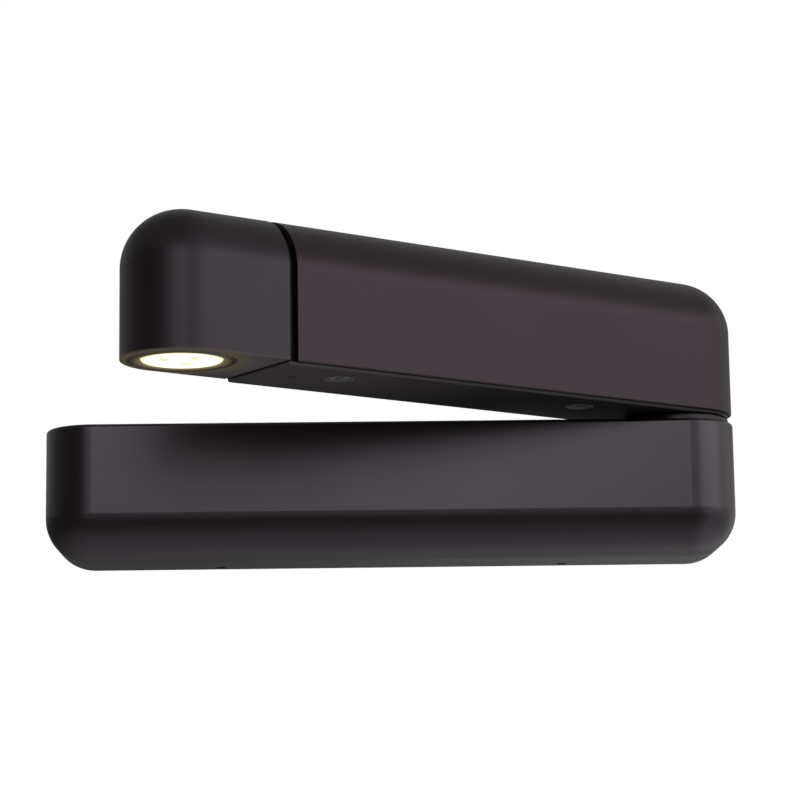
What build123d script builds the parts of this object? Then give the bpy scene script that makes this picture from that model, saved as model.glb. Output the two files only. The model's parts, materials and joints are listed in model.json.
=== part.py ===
from build123d import *
import os

os.makedirs("parts", exist_ok=True)

# A folding wall reading lamp: a long wall body, a swing arm that lies on top of it when
# closed, and a spot head that turns on the end of the arm.
# Millimetres. X runs along the wall, the wall is the plane Y = 0 and the lamp stands out
# from it towards -Y, Z is up. The origin is the middle of the two wall screws.
# The arm and the head are drawn in arm places: x from the swing pivot towards the head,
# y out of the arm's front, z up as in the lamp. They are turned to their rest place last.

# Overall form
lamp_length = 280.0
body_height = 54.0
body_depth = 46.0
body_corner_round = 20.0
body_under_round = 18.0
body_top_edge_round = 1.5
arm_width = 45.0
arm_height = 57.0
arm_top_flat = 1.0
head_length = 54.5
head_rise = 1.4
groove_width = 3.5
swing_gap = 2.6
rest_swing = 34.0
swing_open = 180.0
head_turn = 165.0

# Walls of the castings and small edge rounds
body_wall = 2.5
body_top_wall = 3.5
arm_wall = 2.5
head_wall = 2.5
head_face_wall = 3.0
head_floor = 4.0
soft_edge = 0.4

# Clearances
wall_gap = 0.5
bracket_gap = 0.2
fit_gap = 0.1
shaft_gap = 0.05
running_gap = 0.3
recess_gap = 1.0
flange_clearance = 2.0
cut_over = 1.0

# Cross slots of the screws, as shares of the head's radius and height
cross_reach = 0.62
cross_half_slot = 0.14
cross_depth = 0.6

# Hollow threaded tubes of the two joints, and what is on them
tube_radius = 5.0
tube_bore = 3.6
tube_spare = 1.5
nut_flats = 14.0
nut_height = 4.0
washer_radius = 9.5
washer_height = 1.5
spring_height = 0.8
bush_radius = 7.0
bush_flange = 1.0

# Swing pivot
boss_radius = 21.0
boss_height = 2.2
boss_edge = 0.5
thrust_bush_radius = 11.0
hinge_floor = 5.0
hinge_floor_reach = 21.0
stop_pin_radius = 1.5
stop_track_radius = 14.0
stop_track_depth = 1.4
dowel_radius = 1.5
dowel_circle = 16.0
dowel_bite = 1.4
dowel_angle = 55.0

# Cover plate under the arm
plate_edge = 1.3
plate_inset = 1.5
plate_step = 1.7
plate_bevel = 0.4
near_screw = 55.5
far_screw_inset = 29.2
cover_screw_side = 5.2
cover_head_radius = 4.0
cover_head_height = 1.3
cover_recess_radius = 5.25
cover_recess_depth = 1.7
cover_thread_radius = 2.0
cover_screw_length = 8.0
rib_thickness = 8.0
rib_height = 12.0
magnet_inset = 11.5
magnet_radius = 2.5
magnet_height = 1.5
magnet_depth = 1.0

# End cap that closes the arm and carries the head
cap_plug = 6.0
cap_neck_inset = 3.2
cap_flange = 1.1
cap_flange_inset = 1.2
bulkhead = 4.0
cap_screw_radius = 1.5
cap_screw_head = 2.75
cap_screw_length = 9.0
cap_screw_spread = 12.0
cap_screw_rise = 8.0
thrust_washer_height = 1.25
thrust_recess = 1.0
turn_pin_radius = 1.25
turn_track_radius = 14.0
turn_track_depth = 2.0

# Light unit in the head
bezel_radius = 20.0
bezel_proud = 0.2
bezel_lip = 1.4
bezel_bevel = 0.9
bezel_height = 6.0
lens_radius = 15.0
lens_flange_radius = 16.8
lens_flange = 1.5
lens_cone = 9.0
lens_top_radius = 6.0
holder_rim_radius = 8.5
seal_height = 0.5
emitter_size = 3.5
emitter_height = 0.9
emitter_circle = 3.4
emitter_count = 3
board_radius = 10.0
board_height = 1.6
sink_radius = 17.5
sink_base = 3.0
fin_height = 14.0
fin_thickness = 1.6
fin_pitch = 4.8
fin_count = 7
post_radius = 3.5
post_spread = 13.4
sink_screw_radius = 1.5
sink_screw_head = 2.6
sink_screw_length = 9.0

# Wall bracket
bracket_length = 240.0
bracket_sheet = 2.0
bracket_bend = 1.5
wall_screw_spacing = 200.0
wall_slot_radius = 2.5
wall_slot_length = 10.0
cable_hole_radius = 8.0
grommet_flange_radius = 10.5
grommet_flange = 1.5
grommet_bore = 4.5
lock_screw_spread = 70.0
lock_screw_radius = 2.0
lock_screw_length = 6.5
lock_socket_radius = 1.1

# Electrical pieces
driver_length = 62.0
driver_depth = 27.0
driver_height = 28.0
driver_tab = 7.0
driver_tab_height = 2.0
driver_edge = 2.0
driver_centre = -53.0
small_screw_radius = 1.5
small_screw_head = 2.75
small_screw_head_height = 1.6
terminal_length = 30.0
terminal_depth = 15.0
terminal_height = 26.0
terminal_centre = 42.0
terminal_ways = 3
terminal_pitch = 8.0
terminal_bore = 2.0
terminal_screw_radius = 1.6
terminal_screw_height = 6.0
terminal_peg_radius = 2.5
mains_lead_radius = 2.0
mains_lead_drop = 8.0
earth_place = 72.0
earth_screw_head = 4.0
earth_screw_head_height = 2.2
earth_tag_radius = 4.5
earth_tag_height = 0.8
earth_tag_tail = 12.0
switch_length = 24.0
switch_width = 6.0
switch_height = 6.0
lead_radius = 1.1
lead_bend = 12.0
head_lead_bend = 5.0
board_lead_bend = 3.0
lead_break = 0.4
driver_lead_drop = 9.0

# Places worked out from the sizes above
half_width = arm_width / 2
arm_inside = half_width - arm_wall
top_round = half_width - arm_top_flat / 2
pivot_x = lamp_length / 2 - half_width
pivot_y = half_width - body_depth
body_top = body_height / 2
body_ceiling = body_top - body_top_wall
arm_bottom = body_top + swing_gap
arm_top = arm_bottom + arm_height
shell_bottom = arm_bottom + plate_edge
plate_top = shell_bottom + plate_step
floor_top = plate_top + hinge_floor
boss_top = body_top + boss_height
tip_x = lamp_length - half_width
head_face = tip_x - head_length
arm_end = head_face - groove_width
plate_end = head_face - running_gap
cap_inner = arm_end - cap_plug
head_bottom = arm_bottom + head_rise
swivel_z = arm_top - half_width
lens_x = tip_x - half_width
far_screw = arm_end - far_screw_inset
magnet_x = arm_end - magnet_inset
cap_screw_z = plate_top + cap_screw_rise
bracket_flange = -pivot_y - washer_radius - flange_clearance - bracket_sheet
lock_screw_from_wall = bracket_sheet + bracket_flange / 2
arm_place = Pos(pivot_x, pivot_y, 0) * Rot(0, 0, 180 + rest_swing)

# Levels of the swing joint's stack
hinge_washer_bottom = body_ceiling - washer_height
hinge_tube_bottom = hinge_washer_bottom - nut_height - tube_spare
hinge_spring_bottom = floor_top + bush_flange + shaft_gap
hinge_nut_bottom = hinge_spring_bottom + spring_height
hinge_tube_top = hinge_nut_bottom + nut_height + tube_spare

# Places of the turning joint's stack, along the arm
swivel_spring_end = cap_inner - bush_flange - shaft_gap
swivel_nut_end = swivel_spring_end - spring_height
swivel_tube_start = swivel_nut_end - nut_height - tube_spare
swivel_bush_end = plate_end - thrust_recess
head_inside = head_face + head_face_wall
swivel_lock_start = head_inside + washer_height
swivel_tube_end = swivel_lock_start + nut_height + tube_spare

# Levels of the light unit, from the bezel upwards
bezel_face = head_bottom - bezel_proud
lip_top = bezel_face + bezel_lip
lens_flange_bottom = lip_top + seal_height
lens_flange_top = lens_flange_bottom + lens_flange
lens_top = lens_flange_top + lens_cone
board_bottom = lens_top + fit_gap + emitter_height
board_top = board_bottom + board_height
sink_base_top = board_top + sink_base

FROM_LOW = (Align.CENTER, Align.CENTER, Align.MIN)


# Shapes that several pieces share

def disc(radius, low, high, x=0.0, y=0.0):
    """Upright round bar between two levels."""
    return Pos(x, y, low) * Cylinder(radius, high - low, align=FROM_LOW)


def ring(outer, inner, low, high, x=0.0, y=0.0):
    """Upright round bar with a bore."""
    return disc(outer, low, high, x, y) - disc(inner, low - cut_over, high + cut_over, x, y)


def block(x0, x1, y0, y1, z0, z1):
    """Square block between two corners."""
    middle = Pos((x0 + x1) / 2, (y0 + y1) / 2, (z0 + z1) / 2)
    return middle * Box(x1 - x0, y1 - y0, z1 - z0)


def hex_nut(low, height):
    """Hexagon nut on a joint tube, its upper corners turned off."""
    corner = nut_flats / 3 ** 0.5
    nut = extrude(Pos(0, 0, low) * RegularPolygon(corner, 6), height)
    turned = disc(corner, low, low + height)
    turned = chamfer(turned.edges().group_by(Axis.Z)[-1], soft_edge)
    return (nut & turned) - disc(tube_radius + shaft_gap, low - cut_over, low + height + cut_over)


def flanged_bush(low, high, flange_low, flange_high):
    """Plain bearing with a flange, a running fit on the joint tube."""
    bush = disc(bush_radius, low, high) + disc(washer_radius, flange_low, flange_high)
    bore_low = min(low, flange_low) - cut_over
    return bush - disc(tube_radius + shaft_gap, bore_low, high + bush_flange + cut_over)


def cross_screw(radius, head_radius, head_height, length):
    """Screw standing on its head: the head's outer face at level 0, the shank upwards."""
    head = disc(head_radius, 0, head_height)
    head = chamfer(head.edges().group_by(Axis.Z)[0], head_height / 4)
    shank = disc(radius, 0, head_height + length)
    arm = head_radius * cross_reach
    wing = head_radius * cross_half_slot
    depth = head_height * cross_depth
    cross = block(-arm, arm, -wing, wing, -cut_over, depth)
    cross += block(-wing, wing, -arm, arm, -cut_over, depth)
    return head + shank - cross


def socket_screw(radius, low, high):
    """Headless screw with a hexagon socket in its lower end."""
    key = extrude(Pos(0, 0, low - cut_over) * RegularPolygon(lock_socket_radius, 6), cut_over + radius)
    return disc(radius, low, high) - key


def body_block(half_length, front, back, low, high, corner, under, over):
    """Wall body form: round front corners in plan, round under edge, flat back."""
    outline = Polyline((-half_length, -front + corner), (-half_length, -back),
                       (half_length, -back), (half_length, -front + corner))
    outline += RadiusArc((half_length, -front + corner), (half_length - corner, -front), corner)
    outline += Line((half_length - corner, -front), (corner - half_length, -front))
    outline += RadiusArc((corner - half_length, -front), (-half_length, -front + corner), corner)
    form = extrude(Pos(0, 0, low) * make_face(outline), high - low)
    lower = form.edges().group_by(Axis.Z)[0].filter_by(lambda e: e.center().Y < -back - fit_gap)
    form = fillet(lower, min(under, corner - soft_edge))
    if over > 0:
        upper = form.edges().group_by(Axis.Z)[-1].filter_by(lambda e: e.center().Y < -back - fit_gap)
        form = fillet(upper, over)
    return form


def arm_plan(half, end):
    """Plan of the arm: a half circle round the pivot, straight sides, a square end."""
    outline = Polyline((0, half), (end, half), (end, -half), (0, -half))
    outline += ThreePointArc((0, -half), (-half, 0), (0, half))
    return make_face(outline)


def head_plan(half, start):
    """Plan of the head: a square face towards the arm, a half circle round the lens."""
    outline = Polyline((lens_x, -half), (start, -half), (start, half), (lens_x, half))
    outline += ThreePointArc((lens_x, half), (lens_x + half, 0), (lens_x, -half))
    return make_face(outline)


def round_topped(plan, low, high, square_end, over):
    """Upright form on a plan, its top edges rounded but for the one on the square end."""
    form = extrude(Pos(0, 0, low) * plan, high - low)
    top = form.edges().group_by(Axis.Z)[-1]
    return fillet(top.filter_by(lambda e: abs(e.center().X - square_end) > fit_gap), over)


def bar_slice(half, low, high, over, start, end):
    """Length of the arm's section, with the same round top."""
    outline = Polyline((-half, high - over), (-half, low), (half, low), (half, high - over))
    outline += RadiusArc((half, high - over), (half - over, high), -over)
    outline += Line((half - over, high), (over - half, high))
    outline += RadiusArc((over - half, high), (-half, high - over), -over)
    return extrude(Plane.YZ.offset(start) * make_face(outline), end - start)


def along_arm(piece):
    """Stands a piece that is drawn upright on the head's turning axis, its top to the head."""
    return Pos(0, 0, swivel_z) * Rot(0, 90, 0) * piece


def from_wall(sketch, start, thickness):
    """Sketch in the wall's plane, drawn out towards the room."""
    return extrude(Plane.XZ.offset(start) * sketch, thickness)


def lead(points, bends, radius):
    """Insulated lead along straight runs joined by arcs."""
    path = FilletPolyline(*points, radius=bends) if len(points) > 2 else Line(*points)
    return sweep(Plane(origin=path @ 0, z_dir=path % 0) * Circle(radius), path=path)


# Wall body

def body_shell():
    """Cast shell, open at the back; the hinge tube stands in its thick top wall."""
    half = lamp_length / 2
    form = body_block(half, body_depth, wall_gap, -body_top, body_top, body_corner_round,
                      body_under_round, body_top_edge_round)
    hollow = body_block(half - body_wall, body_depth - body_wall, -cut_over, body_wall - body_top,
                        body_ceiling, body_corner_round - body_wall, body_under_round - body_wall, 0)
    shell = form - hollow
    shell -= disc(tube_radius + fit_gap, 0, body_top + cut_over, pivot_x, pivot_y)
    for x, y in dowel_places():
        shell -= disc(dowel_radius, body_ceiling - cut_over, body_top + cut_over, x, y)
    for side in (-1, 1):
        shell -= disc(lock_screw_radius + fit_gap, -body_top - cut_over, -body_top + body_wall + cut_over,
                      side * lock_screw_spread, -lock_screw_from_wall)
    return shell


def dowel_places():
    """The two dowels, on the wall side of the pivot."""
    turn = Vector(dowel_circle, 0, 0)
    spots = [turn.rotate(Axis.Z, angle) for angle in (dowel_angle, 180 - dowel_angle)]
    return [(pivot_x + spot.X, pivot_y + spot.Y) for spot in spots]


def pivot_boss():
    """Low round seat under the arm, with the arc track of the swing stop in its top."""
    boss = disc(boss_radius, body_top, boss_top)
    boss = fillet(boss.edges().group_by(Axis.Z)[-1], boss_edge)
    boss -= disc(tube_radius + fit_gap, body_top - cut_over, boss_top + cut_over)
    track = SlotArc(CenterArc((0, 0), stop_track_radius, 180, swing_open),
                    2 * (stop_pin_radius + running_gap))
    boss -= extrude(Pos(0, 0, boss_top - stop_track_depth) * track, stop_track_depth + cut_over)
    boss = Pos(pivot_x, pivot_y, 0) * boss
    for x, y in dowel_places():
        boss -= disc(dowel_radius, body_top - cut_over, body_top + dowel_bite, x, y)
    return boss


def boss_dowels():
    """Two pins that keep the boss from turning on the shell."""
    return [disc(dowel_radius, body_ceiling, body_top + dowel_bite, x, y) for x, y in dowel_places()]


# Swing joint, fixed to the body

def at_pivot(piece):
    return Pos(pivot_x, pivot_y, 0) * piece


def hinge_tube():
    return at_pivot(ring(tube_radius, tube_bore, hinge_tube_bottom, hinge_tube_top))


def hinge_lower_washer():
    return at_pivot(ring(washer_radius, tube_radius + shaft_gap, hinge_washer_bottom,
                         hinge_washer_bottom + washer_height))


def hinge_lower_nut():
    return at_pivot(hex_nut(hinge_washer_bottom - nut_height, nut_height))


def hinge_thrust_bush():
    """Nylon disc on the boss; the arm's hinge floor turns on it."""
    return at_pivot(ring(thrust_bush_radius, tube_radius + shaft_gap, boss_top, plate_top - shaft_gap))


def hinge_spring_washer():
    return at_pivot(ring(washer_radius, tube_radius + shaft_gap, hinge_spring_bottom, hinge_nut_bottom))


def hinge_upper_nut():
    return at_pivot(hex_nut(hinge_nut_bottom, nut_height))


# Wall bracket and what it carries

def wall_bracket():
    """Folded sheet: a back plate on the wall and two flanges that the shell slides over."""
    half = bracket_length / 2
    high = body_ceiling - bracket_gap
    low = body_wall - body_top + bracket_gap
    reach = bracket_sheet + bracket_flange
    bracket = block(-half, half, -reach, 0, low, high)
    back_edges = bracket.edges().filter_by(Axis.X).group_by(Axis.Y)[-1]
    bracket = fillet(back_edges, bracket_bend)
    bracket -= block(-half - cut_over, half + cut_over, -reach - cut_over, -bracket_sheet,
                     low + bracket_sheet, high - bracket_sheet)
    slot = SlotOverall(wall_slot_length, 2 * wall_slot_radius)
    for side in (-1, 1):
        place = Pos(side * wall_screw_spacing / 2, 0)
        bracket -= from_wall(place * slot, -cut_over, bracket_sheet + 2 * cut_over)
        bracket -= disc(lock_screw_radius + shaft_gap, low - cut_over, low + bracket_sheet + cut_over,
                        side * lock_screw_spread, -lock_screw_from_wall)
    bracket -= from_wall(Circle(cable_hole_radius), -cut_over, bracket_sheet + 2 * cut_over)
    for x, z in driver_screw_places() + [(earth_place, 0)]:
        hole = Pos(x, z) * Circle(small_screw_radius + shaft_gap)
        bracket -= from_wall(hole, -cut_over, bracket_sheet + 2 * cut_over)
    peg_hole = Pos(terminal_centre, 0) * Circle(terminal_peg_radius + shaft_gap)
    return bracket - from_wall(peg_hole, -cut_over, bracket_sheet + 2 * cut_over)


def cable_grommet():
    """Rubber ring in the cable hole; the supply cable comes through it out of the wall."""
    grommet = from_wall(Circle(cable_hole_radius), 0, bracket_sheet)
    grommet += from_wall(Circle(grommet_flange_radius), bracket_sheet, grommet_flange)
    return grommet - from_wall(Circle(grommet_bore), -cut_over, bracket_sheet + grommet_flange + 2 * cut_over)


def bracket_lock_screws():
    """Two headless screws that go up through the shell's floor into the lower flange."""
    low = -body_top + soft_edge
    return [Pos(side * lock_screw_spread, -lock_screw_from_wall, 0)
            * socket_screw(lock_screw_radius, low, low + lock_screw_length) for side in (-1, 1)]


def driver_screw_places():
    reach = (driver_length + driver_tab) / 2
    return [(driver_centre + side * reach, 0) for side in (-1, 1)]


def led_driver():
    """Potted constant-current unit in a plastic case with a screw tab at each end."""
    half = driver_length / 2
    case = block(driver_centre - half, driver_centre + half, -bracket_sheet - driver_depth, -bracket_sheet,
                 -driver_height / 2, driver_height / 2)
    case = fillet(case.edges().filter_by(Axis.Y), driver_edge)
    case = fillet(case.faces().sort_by(Axis.Y)[0].edges(), soft_edge)
    tabs = RectangleRounded(driver_length + 2 * driver_tab, driver_tab * 2, driver_tab / 2)
    case += from_wall(Pos(driver_centre, 0) * tabs, bracket_sheet, driver_tab_height)
    for x, z in driver_screw_places():
        hole = Pos(x, z) * Circle(small_screw_radius + shaft_gap)
        case -= from_wall(hole, bracket_sheet - cut_over, driver_tab_height + 2 * cut_over)
    return case


def wall_side_screw(x, z, face, radius, head_radius, head_height, length):
    """Screw driven towards the wall, its head standing on a face that far from the wall."""
    screw = cross_screw(radius, head_radius, head_height, length)
    return Pos(x, -face - head_height, z) * Rot(-90, 0, 0) * screw


def driver_screws():
    face = bracket_sheet + driver_tab_height
    return [wall_side_screw(x, z, face, small_screw_radius, small_screw_head, small_screw_head_height,
                            face - shaft_gap) for x, z in driver_screw_places()]


def terminal_ways_z():
    first = -(terminal_ways - 1) / 2
    return [(first + way) * terminal_pitch for way in range(terminal_ways)]


def terminal_block():
    """Connector block for the supply: a bore and two screw wells to each way, and a snap peg."""
    half = terminal_length / 2
    front = bracket_sheet + terminal_depth
    moulding = block(terminal_centre - half, terminal_centre + half, -front, -bracket_sheet,
                     -terminal_height / 2, terminal_height / 2)
    moulding = fillet(moulding.edges().filter_by(Axis.Y), soft_edge)
    for z in terminal_ways_z():
        bore = Plane.YZ * Pos(-bracket_sheet - terminal_depth / 2, z) * Circle(terminal_bore)
        moulding -= extrude(bore, terminal_centre + terminal_length)
        well = Circle(terminal_screw_radius + shaft_gap)
        for side in (-1, 1):
            place = Pos(terminal_centre + side * half / 2, z)
            moulding -= from_wall(place * well, front - terminal_depth / 2, terminal_depth)
    peg = Pos(terminal_centre, 0) * Circle(terminal_peg_radius)
    return moulding + from_wall(peg, shaft_gap, bracket_sheet)


def terminal_screws():
    """Clamping screws, two to each way, low in their wells."""
    front = bracket_sheet + terminal_depth
    screws = []
    for z in terminal_ways_z():
        for side in (-1, 1):
            place = Pos(terminal_centre + side * terminal_length / 4, z)
            screws.append(from_wall(place * Circle(terminal_screw_radius),
                                    front - soft_edge - terminal_screw_height, terminal_screw_height))
    return screws


def mains_lead():
    """Short double-insulated lead from the terminal block to the driver."""
    depth = -bracket_sheet - terminal_depth / 2
    start = driver_centre + driver_length / 2
    end = terminal_centre - terminal_length / 2
    return lead([(start, depth, -mains_lead_drop), (end, depth, -mains_lead_drop)], None, mains_lead_radius)


def earth_tag():
    """Ring tag of the earth wire under its screw."""
    tag = Pos(earth_place, 0) * Circle(earth_tag_radius)
    tag += Pos(earth_place, -earth_tag_tail / 2) * Rectangle(earth_tag_radius, earth_tag_tail)
    tag -= Pos(earth_place, 0) * Circle(small_screw_radius + shaft_gap)
    return from_wall(tag, bracket_sheet, earth_tag_height)


def earth_screw():
    face = bracket_sheet + earth_tag_height
    return wall_side_screw(earth_place, 0, face, small_screw_radius, earth_screw_head,
                           earth_screw_head_height, face - shaft_gap)


def reed_switch():
    """Sealed switch block under the top wall, where the arm's magnet lies when closed."""
    x = pivot_x - magnet_x
    switch = block(x - switch_length / 2, x + switch_length / 2, pivot_y - switch_width / 2,
                   pivot_y + switch_width / 2, body_ceiling - switch_height, body_ceiling)
    return fillet(switch.edges().group_by(Axis.Z)[0], soft_edge)


def driver_lead():
    """Lead from the driver into the hinge tube and up to the tube's top end."""
    start = driver_centre + driver_length / 2
    points = [(start, pivot_y, -driver_lead_drop), (pivot_x, pivot_y, -driver_lead_drop),
              (pivot_x, pivot_y, hinge_tube_top)]
    return lead(points, lead_bend, lead_radius)


# Swing arm

def arm_shell():
    """Cast arm, open below and at the head end, with its hinge floor, two ribs and a bulkhead."""
    plan = arm_plan(half_width, arm_end)
    form = round_topped(plan, shell_bottom, arm_top, arm_end, top_round)
    rim = form.edges().group_by(Axis.Z)[0].filter_by(lambda e: abs(e.center().X - arm_end) > fit_gap)
    form = fillet(rim, soft_edge)
    inner_plan = arm_plan(arm_inside, arm_end + cut_over)
    shell = form - round_topped(inner_plan, shell_bottom - cut_over, arm_top - arm_wall,
                                arm_end + cut_over, top_round - arm_wall)
    shell += extrude(Pos(0, 0, plate_top) * arm_plan(arm_inside, hinge_floor_reach), hinge_floor)
    for x in (near_screw, far_screw):
        shell += block(x - rib_thickness / 2, x + rib_thickness / 2, -arm_inside, arm_inside,
                       plate_top, plate_top + rib_height)
        shell -= disc(cover_thread_radius + shaft_gap, plate_top - cut_over,
                      plate_top + cover_screw_length + cut_over, x, cover_screw_side)
    shell += bar_slice(arm_inside, plate_top, arm_top - arm_wall, top_round - arm_wall,
                       cap_inner - bulkhead, cap_inner)
    shell -= along_arm(disc(washer_radius + recess_gap, cap_inner - bulkhead - cut_over,
                            cap_inner + cut_over))
    for y in (-cap_screw_spread, cap_screw_spread):
        hole = Plane.YZ.offset(cap_inner - bulkhead - cut_over) * Pos(y, cap_screw_z)
        shell -= extrude(hole * Circle(cap_screw_radius + fit_gap), bulkhead + 2 * cut_over)
    shell -= disc(bush_radius, plate_top - cut_over, floor_top + cut_over)
    shell -= disc(stop_pin_radius, plate_top - cut_over, floor_top + cut_over, stop_track_radius)
    return shell


def arm_cover_plate():
    """Plate under the arm: a rim that shows below the shell and a step that fits inside it."""
    rim = extrude(Pos(0, 0, arm_bottom) * arm_plan(half_width - plate_inset, plate_end), plate_edge)
    rim = chamfer(rim.edges().group_by(Axis.Z)[0], plate_bevel)
    step = arm_plan(arm_inside - fit_gap, cap_inner - fit_gap)
    plate = rim + extrude(Pos(0, 0, shell_bottom) * step, plate_step)
    plate -= disc(thrust_bush_radius + running_gap, arm_bottom - cut_over, plate_top + cut_over)
    plate -= disc(stop_pin_radius + fit_gap, arm_bottom - cut_over, plate_top + cut_over, stop_track_radius)
    for x in (near_screw, far_screw):
        plate -= disc(cover_recess_radius, arm_bottom - cut_over, arm_bottom + cover_recess_depth,
                      x, cover_screw_side)
        plate -= disc(cover_thread_radius + fit_gap, arm_bottom, plate_top + cut_over, x, cover_screw_side)
    plate -= disc(magnet_radius, arm_bottom - cut_over, arm_bottom + magnet_depth + magnet_height, magnet_x)
    return plate


def cover_screws():
    """Two low-headed screws, sunk in the plate and driven up into the ribs."""
    low = arm_bottom + cover_recess_depth - cover_head_height
    screw = cross_screw(cover_thread_radius, cover_head_radius, cover_head_height, cover_screw_length)
    return [Pos(x, cover_screw_side, low) * screw for x in (near_screw, far_screw)]


def hinge_bush():
    return flanged_bush(plate_top, floor_top, floor_top, floor_top + bush_flange)


def swing_stop_pin():
    """Pin in the hinge floor; its lower end runs in the boss's arc track."""
    return disc(stop_pin_radius, boss_top - stop_track_depth + running_gap, floor_top, stop_track_radius)


def switch_magnet():
    """Round magnet at the bottom of the small hole near the head."""
    low = arm_bottom + magnet_depth
    return disc(magnet_radius, low, low + magnet_height, magnet_x)


def arm_end_cap():
    """Casting that closes the arm: a plug inside the shell, a sunk neck and a thin flange."""
    flange_start = plate_end - cap_flange
    plug_half = arm_inside - fit_gap
    cap = bar_slice(plug_half, shell_bottom, arm_top - arm_wall - fit_gap, top_round - arm_wall - fit_gap,
                    cap_inner, arm_end)
    cap += bar_slice(half_width - cap_neck_inset, shell_bottom, arm_top - cap_neck_inset,
                     top_round - cap_neck_inset, cap_inner, plate_end)
    cap += bar_slice(half_width - cap_flange_inset, shell_bottom, arm_top - cap_flange_inset,
                     top_round - cap_flange_inset, flange_start, plate_end)
    cap -= along_arm(disc(bush_radius, cap_inner - cut_over, plate_end + cut_over))
    cap -= along_arm(disc(washer_radius + fit_gap, plate_end - thrust_recess, plate_end + cut_over))
    track = SlotArc(CenterArc((0, 0), turn_track_radius, 180 - head_turn, 2 * head_turn),
                    2 * (turn_pin_radius + running_gap))
    cap -= along_arm(extrude(Pos(0, 0, plate_end - turn_track_depth) * track, turn_track_depth + cut_over))
    for y in (-cap_screw_spread, cap_screw_spread):
        hole = Plane.YZ.offset(cap_inner - cut_over) * Pos(y, cap_screw_z)
        hole_length = cap_screw_length - bulkhead + 2 * cut_over
        cap -= extrude(hole * Circle(cap_screw_radius + shaft_gap), hole_length)
    return cap


def end_cap_screws():
    """Two screws through the bulkhead into the end cap, driven from inside the arm."""
    head_height = cap_screw_head / 2
    screw = cross_screw(cap_screw_radius, cap_screw_head, head_height, cap_screw_length)
    start = cap_inner - bulkhead - head_height
    return [Pos(start, y, cap_screw_z) * Rot(0, 90, 0) * screw for y in (-cap_screw_spread, cap_screw_spread)]


def swivel_bush():
    """Flanged bush in the end cap; its flange is on the arm's inside."""
    return along_arm(flanged_bush(cap_inner, swivel_bush_end, cap_inner - bush_flange, cap_inner))


def swivel_thrust_washer():
    """Nylon washer in the cap's recess, between the arm and the head."""
    return along_arm(ring(washer_radius, tube_radius + shaft_gap, swivel_bush_end,
                          swivel_bush_end + thrust_washer_height))


def arm_lead():
    """Lead from above the hinge tube along the arm and into the head's tube."""
    points = [(0, 0, hinge_tube_top + lead_break), (0, 0, swivel_z), (cap_inner, 0, swivel_z)]
    return lead(points, lead_bend, lead_radius)


# Head

def head_shell():
    """Cast head: a closed face to the arm, a domed end, and a bored floor for the light unit."""
    form = round_topped(head_plan(half_width, head_face), head_bottom, arm_top, head_face, top_round)
    form = fillet(form.edges().group_by(Axis.Z)[0], soft_edge)
    hollow = round_topped(head_plan(half_width - head_wall, head_inside), head_bottom + head_floor,
                          arm_top - head_wall, head_inside, top_round - head_wall)
    shell = form - hollow
    for y in (-post_spread, post_spread):
        shell += disc(post_radius, sink_base_top, arm_top, lens_x, y) & form
        shell -= disc(sink_screw_radius + shaft_gap, sink_base_top - cut_over,
                      board_top + sink_screw_length + cut_over, lens_x, y)
    shell -= disc(bezel_radius + shaft_gap, head_bottom - cut_over, head_bottom + head_floor + cut_over,
                  lens_x)
    shell -= along_arm(disc(tube_radius + shaft_gap, head_face - cut_over, head_inside + cut_over))
    shell -= along_arm(disc(turn_pin_radius, head_face - cut_over, head_inside + cut_over,
                            -turn_track_radius))
    return shell


def swivel_tube():
    return along_arm(ring(tube_radius, tube_bore, swivel_tube_start, swivel_tube_end))


def swivel_lock_washer():
    return along_arm(ring(washer_radius, tube_radius + shaft_gap, head_inside, swivel_lock_start))


def swivel_lock_nut():
    return along_arm(hex_nut(swivel_lock_start, nut_height))


def swivel_spring_washer():
    return along_arm(ring(washer_radius, tube_radius + shaft_gap, swivel_nut_end, swivel_spring_end))


def swivel_friction_nut():
    """Nut on the arm's end of the tube; it sets how stiffly the head turns."""
    return along_arm(hex_nut(swivel_nut_end - nut_height, nut_height))


def turn_stop_pin():
    """Pin in the head's face; its end runs in the end cap's arc track."""
    return along_arm(disc(turn_pin_radius, plate_end - turn_track_depth + running_gap, head_inside,
                          -turn_track_radius))


def bezel_ring():
    """Turned ring in the head's floor; its lip holds the lens."""
    lip = lens_radius + fit_gap
    top = bezel_face + bezel_height
    profile = Polyline((lip, lip_top), (lip, bezel_face + bezel_bevel), (lip + bezel_bevel, bezel_face),
                       (bezel_radius - soft_edge, bezel_face), (bezel_radius, bezel_face + soft_edge),
                       (bezel_radius, top), (lens_flange_radius + fit_gap, top),
                       (lens_flange_radius + fit_gap, lip_top), close=True)
    return at_lens(revolve(Plane.XZ * make_face(profile), Axis.Z))


def at_lens(piece):
    return Pos(lens_x, 0, 0) * piece


def lens_seal():
    return at_lens(ring(lens_flange_radius, lens_radius + 2 * fit_gap, lip_top, lens_flange_bottom))


def lens():
    """Moulded lens: a face in the bezel, a flange on the seal and a cone up to the emitters."""
    profile = Polyline((0, bezel_face + fit_gap), (lens_radius, bezel_face + fit_gap),
                       (lens_radius, lens_flange_bottom), (lens_flange_radius, lens_flange_bottom),
                       (lens_flange_radius, lens_flange_top), (lens_radius - lens_flange, lens_flange_top),
                       (lens_top_radius, lens_top), (0, lens_top), close=True)
    return at_lens(revolve(Plane.XZ * make_face(profile), Axis.Z))


def lens_holder():
    """Black cup round the lens's cone; the board presses on its rim, and it on the flange."""
    wide = lens_radius - lens_flange + running_gap
    narrow = lens_top_radius + running_gap
    profile = Polyline((wide, lens_flange_top), (lens_flange_radius, lens_flange_top),
                       (lens_flange_radius, lens_top), (holder_rim_radius, lens_top),
                       (holder_rim_radius, board_bottom), (narrow, board_bottom), (narrow, lens_top),
                       close=True)
    return at_lens(revolve(Plane.XZ * make_face(profile), Axis.Z))


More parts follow.
